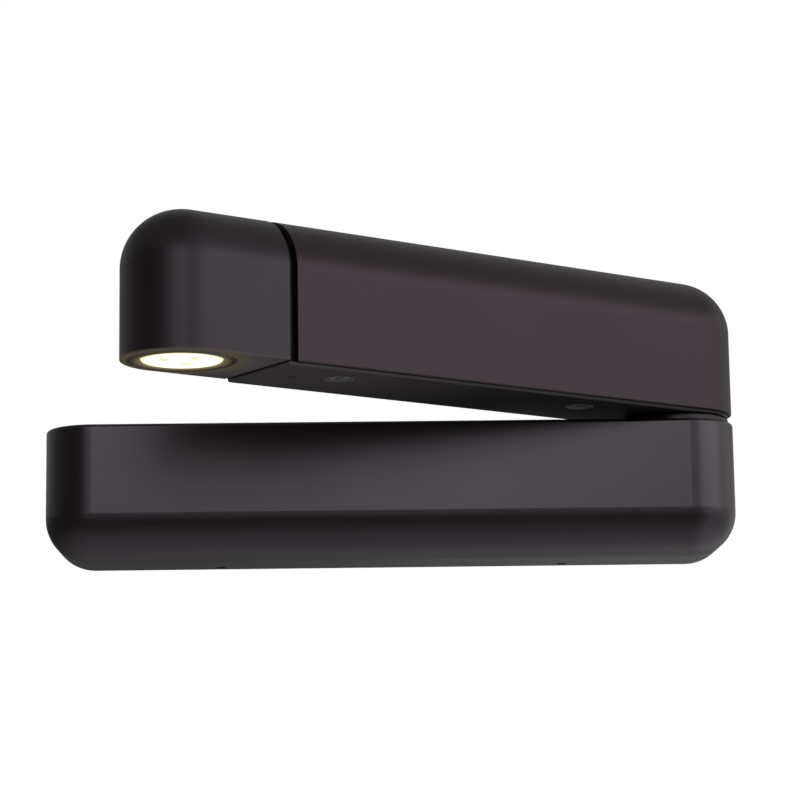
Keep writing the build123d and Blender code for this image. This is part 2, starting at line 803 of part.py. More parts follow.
def led_emitters():
    """Emitter packages on the underside of the board."""
    chips = []
    for place in PolarLocations(emitter_circle, emitter_count):
        chip = Box(emitter_size, emitter_size, emitter_height, align=FROM_LOW)
        chip = chamfer(chip.edges().group_by(Axis.Z)[0], soft_edge / 2)
        chips.append(at_lens(Pos(0, 0, board_bottom - emitter_height) * place * chip))
    return chips


def led_board():
    """Aluminium circuit board with two notches at its rim."""
    board = disc(board_radius, board_bottom, board_top)
    for place in PolarLocations(board_radius, 2, start_angle=90):
        board -= place * disc(small_screw_radius, board_bottom - cut_over, board_top + cut_over)
    return at_lens(board)


def heat_sink():
    """Aluminium base with upright fins, cleared round the two posts."""
    sink = disc(sink_radius, board_top, sink_base_top)
    round_form = disc(sink_radius, board_top, sink_base_top + fin_height)
    for index in range(fin_count):
        y = (index - (fin_count - 1) / 2) * fin_pitch
        fin = block(-sink_radius, sink_radius, y - fin_thickness / 2, y + fin_thickness / 2,
                    board_top, sink_base_top + fin_height)
        sink += fin & round_form
    for y in (-post_spread, post_spread):
        sink -= disc(post_radius + recess_gap, sink_base_top, sink_base_top + fin_height + cut_over, 0, y)
        sink -= disc(sink_screw_radius + fit_gap, board_top - cut_over, sink_base_top + cut_over, 0, y)
    return at_lens(sink)


def heat_sink_screws():
    """Two screws up through the heat sink's base into the head's posts."""
    head_height = sink_screw_head / 2
    screw = cross_screw(sink_screw_radius, sink_screw_head, head_height, sink_screw_length)
    return [at_lens(Pos(0, y, board_top - head_height) * screw) for y in (-post_spread, post_spread)]


def head_lead():
    """Lead out of the head's tube and down beside the heat sink to the board."""
    down = (swivel_tube_end + lens_x - sink_radius) / 2
    level = (lens_top + board_top) / 2
    points = [(cap_inner + lead_break, 0, swivel_z), (down, 0, swivel_z), (down, 0, level),
              (lens_x - board_radius, 0, level)]
    return lead(points, [head_lead_bend, board_lead_bend], lead_radius)


# Assembly: every piece in its node, the arm and the head turned to the rest place

body_nodes = [
    body_shell, pivot_boss, boss_dowels, hinge_tube, hinge_lower_washer, hinge_lower_nut,
    hinge_thrust_bush, hinge_spring_washer, hinge_upper_nut, wall_bracket, cable_grommet,
    bracket_lock_screws, led_driver, driver_screws, terminal_block, terminal_screws, mains_lead,
    earth_tag, earth_screw, reed_switch, driver_lead,
]
arm_nodes = [
    arm_shell, arm_cover_plate, cover_screws, hinge_bush, swing_stop_pin, switch_magnet,
    arm_end_cap, end_cap_screws, swivel_bush, swivel_thrust_washer, arm_lead,
]
head_nodes = [
    head_shell, swivel_tube, swivel_lock_washer, swivel_lock_nut, swivel_spring_washer,
    swivel_friction_nut, turn_stop_pin, bezel_ring, lens_seal, lens, lens_holder, led_emitters,
    led_board, heat_sink, heat_sink_screws, head_lead,
]


def solids_of(made):
    pieces = made if isinstance(made, list) else [made]
    return [solid for piece in pieces for solid in piece.solids()]


for makers, place in ((body_nodes, Pos(0, 0, 0)), (arm_nodes + head_nodes, arm_place)):
    for maker in makers:
        solids = [place * solid for solid in solids_of(maker())]
        shape = solids[0] if len(solids) == 1 else Compound(children=solids)
        export_step(shape, f"parts/{maker.__name__}.step")
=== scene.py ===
import json
import math

import bmesh
import bpy
from mathutils import Matrix, Vector


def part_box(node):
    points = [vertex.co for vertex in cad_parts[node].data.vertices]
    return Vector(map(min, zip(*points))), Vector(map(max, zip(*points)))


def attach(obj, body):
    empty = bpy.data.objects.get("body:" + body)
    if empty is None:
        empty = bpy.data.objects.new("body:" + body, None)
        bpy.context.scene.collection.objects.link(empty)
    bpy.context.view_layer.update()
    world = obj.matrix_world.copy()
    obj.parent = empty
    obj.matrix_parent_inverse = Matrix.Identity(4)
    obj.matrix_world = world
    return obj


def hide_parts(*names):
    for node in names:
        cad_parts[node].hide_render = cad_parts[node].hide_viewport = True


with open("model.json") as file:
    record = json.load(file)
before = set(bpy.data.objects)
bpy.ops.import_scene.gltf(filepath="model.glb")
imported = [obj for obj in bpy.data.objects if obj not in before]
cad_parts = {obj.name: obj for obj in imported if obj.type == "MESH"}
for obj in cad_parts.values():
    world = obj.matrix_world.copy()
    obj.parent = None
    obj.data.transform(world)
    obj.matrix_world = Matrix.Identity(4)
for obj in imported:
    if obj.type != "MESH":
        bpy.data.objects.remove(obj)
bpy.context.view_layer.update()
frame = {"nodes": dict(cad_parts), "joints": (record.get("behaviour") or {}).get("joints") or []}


# Wall bracket
# Folded steel sheet, galvanised before it was pressed, so zinc crystals show as flat patches.
# Two wall screws hold it through its slots, and the body slides over its two flanges.

class Value:
    """A socket of a finish, with sums on it that add Math nodes."""

    def __init__(self, finish, socket):
        self.finish = finish
        self.socket = socket

    def sum_of(self, operation, first, second=0.0):
        return self.finish.node("ShaderNodeMath", {"operation": operation}, {0: first, 1: second})

    def __add__(self, other):
        return self.sum_of("ADD", self, other)

    def __sub__(self, other):
        return self.sum_of("SUBTRACT", self, other)

    def __rsub__(self, other):
        return self.sum_of("SUBTRACT", other, self)

    def __mul__(self, other):
        return self.sum_of("MULTIPLY", self, other)

    __radd__ = __add__
    __rmul__ = __mul__

    def rise(self, low, high):
        """0 below low and 1 above high, with a soft step between."""
        settings = {"interpolation_type": "SMOOTHSTEP"}
        sockets = {"Value": self, "From Min": low, "From Max": high}
        return self.finish.node("ShaderNodeMapRange", settings, sockets)

    def band(self, low, high, soft):
        """1 from low to high, fading to 0 over soft on each side."""
        return self.rise(low - soft, low + soft) * (1.0 - self.rise(high - soft, high + soft))


class Finish:
    """One material: its shader, and the nodes that vary it over the surface."""

    def __init__(self, name, constants):
        self.material = bpy.data.materials.new(name)
        self.material.use_nodes = True
        self.tree = self.material.node_tree
        self.shader = self.tree.nodes["Principled BSDF"]
        self.place = self.node("ShaderNodeTexCoord", {}, {}, "Object")
        self.surface(constants)

    def node(self, kind, settings, sockets, output=0):
        """Adds a node, makes its settings, fills its sockets and gives one of its outputs."""
        made = self.tree.nodes.new(kind)
        for setting, amount in settings.items():
            setattr(made, setting, amount)
        for socket, amount in sockets.items():
            self.fill(made.inputs[socket], amount)
        return Value(self, made.outputs[output])

    def fill(self, socket, amount):
        if isinstance(amount, Value):
            self.tree.links.new(amount.socket, socket)
        else:
            socket.default_value = amount

    def surface(self, sockets):
        for name, amount in sockets.items():
            self.fill(self.shader.inputs[name], amount)

    def noise(self, size, detail=2.0, place=None):
        """Soft random patches of about that size in metres, from 0 to 1."""
        sockets = {"Vector": place or self.place, "Scale": 1 / size, "Detail": detail}
        return self.node("ShaderNodeTexNoise", {}, sockets)

    def stretched(self, scale):
        """The place on the piece, drawn out along the directions whose scale is small."""
        return self.node("ShaderNodeVectorMath", {"operation": "MULTIPLY"}, {0: self.place, 1: scale})

    def between(self, share, first, second):
        """A colour that goes from the first to the second."""
        return self.node("ShaderNodeMix", {"data_type": "RGBA"}, {0: share, 6: first, 7: second}, 2)

    def relief(self, height, depth):
        """Raises the surface where the height is 1, by that depth in metres."""
        self.surface({"Normal": self.node("ShaderNodeBump", {}, {"Height": height, "Distance": depth})})

    def seen_by_eye(self):
        """1 for what the camera sees straight on, in a gloss or through glass, and 0 for light."""
        seen = 0.0
        for ray in ("Is Camera Ray", "Is Glossy Ray", "Is Transmission Ray"):
            seen = self.node("ShaderNodeLightPath", {}, {}, ray) + seen
        return seen.rise(0.0, 1.0)

    def on(self, *names):
        """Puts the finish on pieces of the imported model."""
        for name in names:
            for slot in frame["nodes"][name].material_slots:
                slot.material = self.material


crystals_per_metre = 170.0


def galvanised():
    finish = Finish("galvanised_sheet", {"Metallic": 1.0})
    sockets = {"Vector": finish.place, "Scale": crystals_per_metre}
    crystal = finish.node("ShaderNodeTexVoronoi", {}, sockets, "Color")
    grain = finish.noise(0.0012)
    streak = finish.noise(0.004, 3.0, finish.stretched((0.15, 1.0, 1.0)))
    share = crystal * 0.6 + streak * 0.4
    finish.surface({
        "Base Color": finish.between(share, (0.40, 0.41, 0.42, 1), (0.66, 0.67, 0.68, 1)),
        "Roughness": 0.30 + 0.22 * share,
    })
    finish.relief(grain + 0.5 * crystal, 0.00002)
    return finish


galvanised().on("wall_bracket")


# Cable grommet
# Soft black rubber ring pressed into the bracket's hole, where the supply cable comes out of
# the wall. Moulded, with the dull bloom that such rubber has.

def rubber():
    finish = Finish("black_rubber", {"Specular IOR Level": 0.35})
    bloom = finish.noise(0.005, 4.0)
    finish.surface({
        "Base Color": finish.between(bloom, (0.010, 0.010, 0.010, 1), (0.028, 0.027, 0.026, 1)),
        "Roughness": 0.62 + 0.2 * bloom,
    })
    finish.relief(finish.noise(0.0007, 3.0), 0.00003)
    return finish


rubber().on("cable_grommet")


# Screws and fixings of plated steel
# Turned or pressed steel, zinc plated: bluish grey with faint cloudy patches. The two screws
# of the driver, and every nut, washer, pin and dowel of the two joints, are of this kind.

def plated_steel():
    finish = Finish("zinc_plated_steel", {"Metallic": 1.0})
    cloud = finish.noise(0.003, 4.0)
    scratch = finish.noise(0.0006, 2.0, finish.stretched((1.0, 1.0, 0.12)))
    finish.surface({
        "Base Color": finish.between(cloud, (0.42, 0.44, 0.47, 1), (0.62, 0.62, 0.60, 1)),
        "Roughness": 0.24 + 0.16 * cloud + 0.08 * scratch,
    })
    finish.relief(scratch, 0.000008)
    return finish


steel = plated_steel()
steel.on("driver_screws", "boss_dowels", "hinge_lower_washer", "hinge_lower_nut", "hinge_spring_washer")
steel.on("hinge_upper_nut", "swing_stop_pin", "end_cap_screws", "swivel_lock_washer", "swivel_lock_nut")
steel.on("swivel_spring_washer", "swivel_friction_nut", "turn_stop_pin", "heat_sink_screws")


# Driver
# Constant-current unit, potted in an off-white moulded case with a screw tab at each end. The
# case has the fine spark texture of its mould.

def moulded(name, dark, light, roughness, grain):
    """Moulded plastic: an even colour with slight clouds, under a fine mould texture."""
    finish = Finish(name, {})
    cloud = finish.noise(0.012, 3.0)
    finish.surface({
        "Base Color": finish.between(cloud, dark, light),
        "Roughness": roughness + 0.10 * cloud,
    })
    finish.relief(finish.noise(grain, 2.0), 0.00002)
    return finish


driver_case = moulded("driver_case", dark=(0.60, 0.60, 0.57, 1), light=(0.70, 0.70, 0.67, 1),
                      roughness=0.42, grain=0.0006)
driver_case.on("led_driver")


# Terminal block and earth
# White nylon connector with three ways, snapped into the bracket. Its clamping screws and the
# earth tag and screw are brass, a little dulled by handling.

def brass():
    finish = Finish("dull_brass", {"Metallic": 1.0})
    tarnish = finish.noise(0.0025, 4.0)
    finish.surface({
        "Base Color": finish.between(tarnish, (0.62, 0.45, 0.17, 1), (0.42, 0.28, 0.10, 1)),
        "Roughness": 0.26 + 0.22 * tarnish,
    })
    finish.relief(finish.noise(0.0004), 0.000006)
    return finish


white_nylon = moulded("white_nylon", dark=(0.66, 0.65, 0.61, 1), light=(0.76, 0.75, 0.71, 1),
                      roughness=0.38, grain=0.0009)
white_nylon.on("terminal_block")
brass().on("terminal_screws", "earth_tag", "earth_screw")


# Leads
# The short grey mains lead from the connector to the driver, and the thin black sleeved leads
# that run on through the two joints to the head.

def sleeve(name, dark, light, roughness):
    """Extruded sleeve: almost even in colour, faintly uneven where the wires press in it."""
    finish = Finish(name, {})
    wave = finish.noise(0.006, 2.0)
    finish.surface({"Base Color": finish.between(wave, dark, light), "Roughness": roughness + 0.12 * wave})
    finish.relief(finish.noise(0.0015, 1.0), 0.00004)
    return finish


grey_sheath = sleeve("grey_sheath", dark=(0.33, 0.34, 0.35, 1), light=(0.42, 0.43, 0.44, 1),
                     roughness=0.42)
grey_sheath.on("mains_lead")
black_sleeve = sleeve("black_sleeve", dark=(0.012, 0.012, 0.013, 1), light=(0.03, 0.03, 0.03, 1),
                      roughness=0.40)
black_sleeve.on("driver_lead", "arm_lead", "head_lead")


# Switch in the body
# Sealed block of black moulded plastic, under the body's top wall. The magnet near the arm's
# end works it through the wall as the arm closes or opens.

black_plastic = moulded("black_plastic", dark=(0.012, 0.012, 0.013, 1), light=(0.024, 0.024, 0.025, 1),
                        roughness=0.40, grain=0.0005)
black_plastic.on("reed_switch")


# Wall body
# Aluminium casting, ground smooth and powder coated very dark brown. The coat is fairly glossy:
# it has a soft orange peel, and the gloss is a little uneven where it lay thicker.

def powder_coat(name, dark, light, roughness, peel_depth, tint, gloss):
    """Baked powder coat over a casting."""
    finish = Finish(name, {"Specular IOR Level": gloss, "Specular Tint": tint})
    cloud = finish.noise(0.045, 4.0)
    speck = finish.noise(0.0009, 3.0)
    finish.coat = finish.between(0.7 * cloud + 0.3 * speck, dark, light)
    finish.surface({
        "Base Color": finish.coat,
        "Roughness": roughness + 0.05 * (cloud - 0.5) + 0.04 * (speck - 0.5),
    })
    peel = finish.noise(0.0028, 1.0) + 0.25 * finish.noise(0.0008, 1.0)
    finish.relief(peel, peel_depth)
    return finish


body_coat = powder_coat("body_powder_coat", dark=(0.0030, 0.0024, 0.0028, 1),
                        light=(0.0042, 0.0034, 0.0040, 1), roughness=0.30, peel_depth=0.000014,
                        tint=(1.0, 0.86, 1.0, 1), gloss=1.0)
body_coat.on("body_shell")


# Lock screws
# Two headless screws with a hexagon socket, chemically blackened. They go up through the
# body's floor and clamp it on the bracket's lower flange.

def blackened():
    finish = Finish("blackened_steel", {"Metallic": 1.0})
    cloud = finish.noise(0.0018, 3.0)
    finish.surface({
        "Base Color": finish.between(cloud, (0.32, 0.31, 0.31, 1), (0.46, 0.44, 0.44, 1)),
        "Roughness": 0.40 + 0.15 * cloud,
    })
    finish.relief(finish.noise(0.0004), 0.00001)
    return finish


black_screws = blackened()
black_screws.on("bracket_lock_screws")


# Swing joint
# A round seat on the body with a nylon disc on it. A hollow threaded tube through both holds
# the arm down under a washer, a spring washer and a nut.

half_pitch = 0.0005
thread_depth = 0.0003


def threaded(name, axis):
    """Zinc plated tube with a fine thread round it, all along its axis."""
    finish = Finish(name, {"Metallic": 1.0})
    settings = {"operation": "DOT_PRODUCT"}
    along = finish.node("ShaderNodeVectorMath", settings, {0: finish.place, 1: axis}, "Value")
    there_and_back = finish.node("ShaderNodeMath", {"operation": "PINGPONG"}, {0: along, 1: half_pitch})
    ridge = there_and_back * (1 / half_pitch)
    cloud = finish.noise(0.003, 3.0)
    finish.surface({
        "Base Color": finish.between(cloud, (0.44, 0.45, 0.46, 1), (0.60, 0.60, 0.59, 1)),
        "Roughness": 0.28 + 0.15 * cloud,
    })
    finish.relief(ridge, thread_depth)
    return finish


def nylon():
    finish = Finish("natural_nylon", {"Subsurface Weight": 0.2, "Subsurface Scale": 0.002})
    cloud = finish.noise(0.004, 3.0)
    finish.surface({
        "Base Color": finish.between(cloud, (0.62, 0.59, 0.51, 1), (0.72, 0.70, 0.63, 1)),
        "Roughness": 0.36 + 0.12 * cloud,
    })
    finish.relief(finish.noise(0.0006), 0.00001)
    return finish


boss_coat = powder_coat("boss_powder_coat", dark=(0.0050, 0.0042, 0.0048, 1),
                        light=(0.0065, 0.0055, 0.0060, 1), roughness=0.36, peel_depth=0.000012,
                        tint=(1.0, 0.90, 0.95, 1), gloss=0.55)
boss_coat.on("pivot_boss")
threaded("hinge_tube_thread", (0, 0, 1)).on("hinge_tube")
natural_nylon = nylon()
natural_nylon.on("hinge_thrust_bush", "hinge_bush", "swivel_bush", "swivel_thrust_washer")


# Swing arm
# Aluminium casting with the same dark brown coat, a little duller than the body's. Its cover
# plate is a flat casting that closes it from below, coated a shade greyer, with a painted
# highlight round each screw recess and a faint painted glow towards the head. Its end cap, in
# the groove before the head, is a casting with a dull black coat.

screw_low, screw_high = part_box("cover_screws")
screw_head_radius = 0.0040
recess_radius = 0.00525
highlight_width = 0.0003


def distance_to(finish, point):
    """How far the place on the piece is from a point."""
    settings = {"operation": "DISTANCE"}
    return finish.node("ShaderNodeVectorMath", settings, {0: finish.place, 1: point}, "Value")


def painted_recess_highlights(finish, highlight_colour):
    """Paints a thin light ring on the edge of each recess of the two cover screws: a painted highlight."""
    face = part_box("arm_cover_plate")[0].z
    edge = 0.0
    for corner, inwards in ((screw_low, screw_head_radius), (screw_high, -screw_head_radius)):
        reach = distance_to(finish, (corner.x + inwards, corner.y + inwards, face))
        edge = reach.band(recess_radius, recess_radius + highlight_width, highlight_width / 2) + edge
    finish.surface({"Base Color": finish.between(edge, finish.coat, highlight_colour)})


arm_coat = powder_coat("arm_powder_coat", dark=(0.0045, 0.0030, 0.0038, 1),
                       light=(0.0060, 0.0042, 0.0052, 1), roughness=0.42, peel_depth=0.000010,
                       tint=(1.0, 0.77, 0.90, 1), gloss=0.66)
arm_coat.on("arm_shell")
plate_coat = powder_coat("plate_powder_coat", dark=(0.0090, 0.0080, 0.0082, 1),
                         light=(0.0120, 0.0108, 0.0110, 1), roughness=0.42, peel_depth=0.000012,
                         tint=(1.0, 0.86, 0.92, 1), gloss=0.38)
# Painted highlight: a thin light ring on the edge of each cover screw's recess.
painted_recess_highlights(plate_coat, highlight_colour=(0.130, 0.120, 0.120, 1))
plate_coat.on("arm_cover_plate")
cap_black = powder_coat("cap_black", dark=(0.0035, 0.0035, 0.0035, 1),
                        light=(0.0050, 0.0048, 0.0048, 1), roughness=0.60, peel_depth=0.000008,
                        tint=(1.0, 1.0, 1.0, 1), gloss=0.20)
cap_black.on("arm_end_cap")
black_screws.on("cover_screws")


# Magnet
# Small nickel plated disc at the bottom of the round hole in the cover plate, near the head.
# It works the switch in the body.

def nickel():
    finish = Finish("nickel_plate", {"Metallic": 1.0})
    cloud = finish.noise(0.001, 3.0)
    finish.surface({
        "Base Color": finish.between(cloud, (0.20, 0.19, 0.18, 1), (0.32, 0.30, 0.28, 1)),
        "Roughness": 0.30 + 0.15 * cloud,
    })
    finish.relief(finish.noise(0.0005), 0.00001)
    return finish


nickel().on("switch_magnet")


# Turning joint of the head
# The same kind of hollow threaded tube, lying along the arm. It is locked in the head and
# turns in the arm's end cap against a spring washer.

swivel = next(joint for joint in frame["joints"] if joint["name"] == "head_turn")
threaded("swivel_tube_thread", tuple(swivel["axis"])).on("swivel_tube")


# Head
# Aluminium casting with the same coat as the arm's, a little less red. It holds the light
# unit, and its open end turns against the arm's end cap.

head_coat = powder_coat("head_powder_coat", dark=(0.0045, 0.0035, 0.0040, 1),
                        light=(0.0060, 0.0045, 0.0055, 1), roughness=0.42, peel_depth=0.000010,
                        tint=(1.0, 0.84, 0.98, 1), gloss=0.67)
head_coat.on("head_shell")


# Light unit
# Three emitters on an aluminium board, screwed under a finned heat sink. A black cup holds the
# lens on its soft seal.

def machined_aluminium():
    finish = Finish("machined_aluminium", {"Metallic": 1.0})
    line = finish.noise(0.0008, 2.0, finish.stretched((0.1, 0.1, 1.0)))
    cloud = finish.noise(0.006, 3.0)
    finish.surface({
        "Base Color": finish.between(cloud, (0.60, 0.61, 0.63, 1), (0.72, 0.73, 0.74, 1)),
        "Roughness": 0.30 + 0.20 * line,
    })
    finish.relief(line, 0.00001)
    return finish


tracks_per_metre = 260.0


def circuit_board():
    """White solder mask with the faint raised lines of copper under it."""
    finish = Finish("white_board", {})
    sockets = {"Vector": finish.place, "Scale": tracks_per_metre}
    copper = finish.node("ShaderNodeTexVoronoi", {"feature": "DISTANCE_TO_EDGE"}, sockets)
    track = 1.0 - copper.rise(0.06, 0.12)
    finish.surface({
        "Base Color": finish.between(track, (0.74, 0.74, 0.71, 1), (0.62, 0.63, 0.58, 1)),
        "Roughness": 0.28 + 0.1 * track,
    })
    finish.relief(track, 0.00003)
    return finish


def emitter():
    """Yellow phosphor that glows, with a fine grain in it."""
    finish = Finish("lit_phosphor", {"Emission Strength": 1.0, "Roughness": 0.4})
    grain = finish.noise(0.0003, 2.0)
    finish.surface({
        "Base Color": finish.between(grain, (0.80, 0.58, 0.10, 1), (0.90, 0.70, 0.22, 1)),
        "Emission Color": finish.between(grain, (1.0, 0.86, 0.48, 1), (1.0, 0.94, 0.70, 1)),
    })
    return finish


machined_aluminium().on("heat_sink")
circuit_board().on("led_board")
emitter().on("led_emitters")
black_plastic.on("lens_holder")
grey_silicone = sleeve("grey_silicone", dark=(0.34, 0.34, 0.34, 1), light=(0.44, 0.44, 0.43, 1),
                       roughness=0.5)
grey_silicone.on("lens_seal")


# Lens
# Clear moulded lens, 30 mm across, lit from behind. Shallow steps run round its face, and it
# narrows in a cone up to the three emitters, which show through it as faint patches.

lens_low, lens_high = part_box("lens")
lens_centre = (lens_low + lens_high) / 2
lens_radius = 0.0149
lens_flange_radius = 0.0168
lens_side = 0.0018
lens_flange = 0.0015
lens_neck_radius = 0.0060
lens_step_count = 5
lens_step_start = 0.0105
lens_step_depth = 0.00018
lens_step_slope = 0.15
lens_dome = 0.4
lens_rim = 0.0006
lens_edge = 0.0004
lens_sink = 0.0001
lens_turns = 96
patch_count = 3
patch_turn = 78
patch_ring_radius = 0.0068
patch_core = 0.0008
patch_reach = 0.0046
rim_start = 0.0120
rim_end = 0.0150


def turned(name, outline, turns):
    """Piece turned on the lens's upright axis from an outline of (radius, level) points."""
    verts = []
    faces = []
    rows = len(outline)
    for turn in range(turns):
        angle = 2 * math.pi * turn / turns
        for radius, level in outline:
            x = lens_centre.x + radius * math.cos(angle)
            y = lens_centre.y + radius * math.sin(angle)
            verts.append((x, y, level))
    for turn in range(turns):
        here = turn * rows
        there = (turn + 1) % turns * rows
        for row in range(rows - 1):
            faces.append((here + row, here + row + 1, there + row + 1, there + row))
    mesh = bpy.data.meshes.new(name)
    mesh.from_pydata(verts, [], faces)
    mesh.update()
    piece = bpy.data.objects.new(name, mesh)
    bpy.context.scene.collection.objects.link(piece)
    return piece


def closed_and_smooth(piece, angle):
    """Joins doubled points, turns the faces outwards and shades them smooth up to an angle."""
    work = bmesh.new()
    work.from_mesh(piece.data)
    bmesh.ops.remove_doubles(work, verts=work.verts, dist=1e-7)
    bmesh.ops.dissolve_degenerate(work, edges=work.edges, dist=1e-7)
    bmesh.ops.recalc_face_normals(work, faces=work.faces)
    work.to_mesh(piece.data)
    work.free()
    piece.data.shade_smooth()
    piece.data.set_sharp_from_angle(angle=math.radians(angle))


def lens_outline():
    face = lens_low.z + lens_sink
    flange = lens_low.z + lens_side
    points = [(0.0, face)]
    width = (lens_radius - lens_rim - lens_step_start) / lens_step_count
    points.append((lens_step_start / 2, face + lens_step_depth * lens_dome))
    for step in range(lens_step_count):
        inner = lens_step_start + step * width
        points.append((inner, face + lens_step_depth))
        points.append((inner + width * lens_step_slope, face))
    points.append((lens_radius - lens_edge, face))
    points.append((lens_radius, face + lens_edge))
    points.append((lens_radius, flange))
    points.append((lens_flange_radius, flange))
    points.append((lens_flange_radius, flange + lens_flange))
    points.append((lens_radius - lens_flange, flange + lens_flange))
    points.append((lens_neck_radius, lens_high.z))
    points.append((0.0, lens_high.z))
    return points


def lit_lens():
    """Glows white, yellower at the rim and over each of the three emitters."""
    finish = Finish("lit_lens", {"Emission Strength": 1.25, "Roughness": 0.12, "IOR": 1.49})
    centre = (lens_centre.x, lens_centre.y, lens_low.z + lens_sink)
    patches = 0.0
    for turn in range(patch_count):
        angle = math.radians(360 / patch_count * turn + patch_turn)
        x = centre[0] + patch_ring_radius * math.cos(angle)
        y = centre[1] + patch_ring_radius * math.sin(angle)
        patches = (1.0 - distance_to(finish, (x, y, centre[2])).rise(patch_core, patch_reach)) + patches
    rim = distance_to(finish, centre).rise(rim_start, rim_end)
    warm = finish.between(rim, (1.0, 0.98, 0.90, 1), (0.72, 0.66, 0.40, 1))
    finish.surface({
        "Base Color": finish.between(rim, (0.22, 0.22, 0.20, 1), (0.16, 0.15, 0.10, 1)),
        "Emission Color": finish.between(patches, warm, (0.60, 0.60, 0.34, 1)),
    })
    return finish


lens_piece = turned("lens_lit", lens_outline(), lens_turns)
closed_and_smooth(lens_piece, angle=20)
lens_piece.data.materials.append(lit_lens().material)
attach(lens_piece, "spot_head")
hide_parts("lens")


# Bezel
# Turned aluminium ring with the dark coat, pressed into the head's floor. A chamfer leads down
# to the lens, and a fine groove runs round its face.

bezel_low, bezel_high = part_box("bezel_ring")
bezel_radius = 0.0200
bezel_lip_radius = 0.0150
bezel_lip = 0.0014
bezel_chamfer = 0.0009
bezel_groove_radius = 0.0181
bezel_groove = 0.0003
bezel_seat_radius = 0.0169
bezel_edge = 0.0005


def bezel_outline():
    face = bezel_low.z
    lip_top = face + bezel_lip
    inner = bezel_lip_radius + bezel_chamfer
    return [
        (bezel_lip_radius, lip_top),
        (bezel_lip_radius, face + bezel_chamfer),
        (inner, face + bezel_groove * 0.2),
        (inner + bezel_groove, face),
        (bezel_groove_radius - bezel_groove, face),
        (bezel_groove_radius, face + bezel_groove),
        (bezel_groove_radius + bezel_groove, face),
        (bezel_radius - bezel_edge, face),
        (bezel_radius - bezel_edge * 0.3, face + bezel_edge * 0.3),
        (bezel_radius, face + bezel_edge),
        (bezel_radius, bezel_high.z),
        (bezel_seat_radius, bezel_high.z),
        (bezel_seat_radius, lip_top),
        (bezel_lip_radius, lip_top),
    ]


def paint_lens_glow(finish, near, far, low, high, close, wide):
    """Painted glow: emission that stands in for the lens's light on what lies round it, warmest close to
    it and gone above a level.
    """
    centre = (lens_centre.x, lens_centre.y, lens_low.z)
    level = finish.node("ShaderNodeSeparateXYZ", {}, {"Vector": finish.place}, "Z")
    glow = finish.between(distance_to(finish, centre).rise(near, far), close, wide)
    finish.surface({
        "Emission Color": finish.between(level.rise(low, high), glow, (0, 0, 0, 1)),
        "Emission Strength": 1.0,
    })


bezel_coat = powder_coat("bezel_coat", dark=(0.024, 0.021, 0.017, 1),
                         light=(0.036, 0.031, 0.026, 1), roughness=0.28, peel_depth=0.000006,
                         tint=(1.0, 0.95, 0.90, 1), gloss=0.62)
# Painted glow: the bezel glows warm near the lens, as if lit by it.
paint_lens_glow(bezel_coat, near=0.0150, far=0.0190, low=bezel_low.z + 0.0020, high=bezel_low.z + 0.0040,
                close=(0.120, 0.098, 0.046, 1), wide=(0.006, 0.005, 0.003, 1))
# Painted glow: the head's underside glows faintly round the bezel, as if lit by the lens.
paint_lens_glow(head_coat, near=0.0190, far=0.0320, low=bezel_low.z + 0.0003, high=bezel_low.z + 0.0012,
                close=(0.052, 0.043, 0.024, 1), wide=(0.026, 0.023, 0.023, 1))
# Painted light: the cover plate glows faintly near the head, fading towards the hinge.
paint_lens_glow(plate_coat, near=0.0450, far=0.1500, low=bezel_low.z - 0.0006, high=bezel_low.z,
                close=(0.015, 0.013, 0.013, 1), wide=(0, 0, 0, 1))
bezel_piece = turned("bezel_turned", bezel_outline(), lens_turns)
closed_and_smooth(bezel_piece, angle=35)
bezel_piece.data.materials.append(bezel_coat.material)
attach(bezel_piece, "spot_head")
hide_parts("bezel_ring")


# Studio
# A pale floor well below the lamp, two large soft lamps, and a soft room all round it, which
# only the gloss of the coat sees. The background is white.

studio_middle = Vector((0.0, -0.06, 0.03))
floor_level = -0.30
floor_half = 30.0
floor_plain = 1.2
floor_white = 5.0
room_radius = 3.2
room_columns = 96
room_rows = 48


def floor_finish():
    """Pale paper floor, faintly uneven, that fades to white far away and is clear from below."""
    finish = Finish("pale_floor", {"Roughness": 0.9, "Specular IOR Level": 0.1, "Emission Strength": 1.0})
    uneven = finish.noise(0.4)
    far = distance_to(finish, (0, 0, floor_level)).rise(floor_plain, floor_white)
    under = finish.node("ShaderNodeNewGeometry", {}, {}, "Backfacing")
    finish.surface({
        "Base Color": finish.between(uneven, (0.80, 0.80, 0.80, 1), (0.84, 0.84, 0.84, 1)),
        "Emission Color": finish.between(far * finish.seen_by_eye(), (0, 0, 0, 1), (0.63, 0.63, 0.63, 1)),
        "Alpha": 1.0 - under,
    })
    return finish


floor_corners = [(-floor_half, -floor_half, floor_level), (floor_half, -floor_half, floor_level),
                 (floor_half, floor_half, floor_level), (-floor_half, floor_half, floor_level)]
floor_mesh = bpy.data.meshes.new("floor")
floor_mesh.from_pydata(floor_corners, [], [(0, 1, 2, 3)])
floor = bpy.data.objects.new("floor", floor_mesh)
bpy.context.scene.collection.objects.link(floor)
floor_mesh.materials.append(floor_finish().material)
floor.visible_glossy = False


def room_mesh(name, radius, columns, rows):
    """Sphere round the lamp, seen from its inside."""
    verts = []
    for row in range(rows + 1):
        rise = math.radians(-90 + 180 * row / rows)
        for column in range(columns + 1):
            way = math.radians(-180 + 360 * column / columns)
            out = radius * math.cos(rise)
            verts.append((out * math.sin(way), -out * math.cos(way), radius * math.sin(rise)))
    step = columns + 1
    faces = []
    for row in range(rows):
        for column in range(columns):
            here = row * step + column
            faces.append((here, here + 1, here + step + 1, here + step))
    mesh = bpy.data.meshes.new(name)
    mesh.from_pydata(verts, [], faces)
    return mesh


